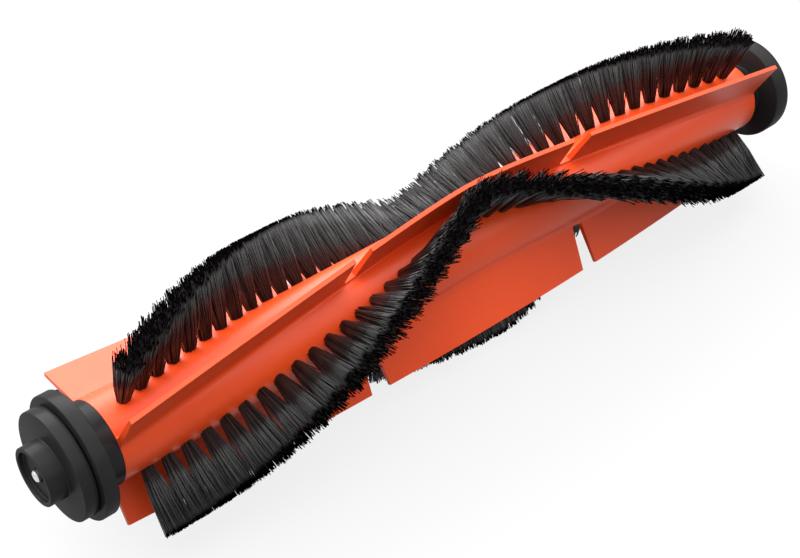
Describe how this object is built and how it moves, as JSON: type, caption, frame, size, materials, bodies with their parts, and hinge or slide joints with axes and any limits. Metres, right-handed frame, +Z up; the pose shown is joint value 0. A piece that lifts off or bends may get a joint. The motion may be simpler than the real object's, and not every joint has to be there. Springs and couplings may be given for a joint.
{
  "type": "robot vacuum roller brush",
  "caption": "Roller brush for a robot vacuum: V rows of bristle tufts and slit V wiper blades on a round core, with a turning bearing cap at one end and a square drive tenon at the other.",
  "frame": {"origin": "centre of the bearing hub's front face, on the roller's axis", "axes": "+X along the roller's axis from the bearing end to the drive end, +Z up with the brush lying on its bristles, +Y across"},
  "size_m": [0.1885, 0.039, 0.0387],
  "materials": {
    "orange_core": "satin moulded plastic",
    "orange_rubber": "satin soft rubber",
    "black_bristle": "extruded nylon filament",
    "charcoal_cap": "fine moulded texture",
    "bearing_polymer": "plain self-lubricating polymer",
    "steel": "turned bright"
  },
  "bodies": {
    "roller": {"roller_core": "orange_core", "wiper_blade_1": "orange_rubber", "wiper_blade_2": "orange_rubber", "wiper_blade_3": "orange_rubber", "bristle_row_1": "black_bristle", "bristle_row_2": "black_bristle", "bristle_row_3": "black_bristle", "tuft_anchors_1": "steel", "tuft_anchors_2": "steel", "tuft_anchors_3": "steel", "steel_shaft": "steel", "end_flange": "charcoal_cap", "thrust_washer": "steel", "drive_coupling": "charcoal_cap"},
    "bearing": {"bearing_cap": "charcoal_cap", "bearing_bush": "bearing_polymer"}
  },
  "joints": [
    {"name": "cap_spin", "type": "hinge", "parent": "roller", "child": "bearing", "pos_m": [0, 0, 0], "axis": [1, 0, 0], "continuous": true}
  ]
}
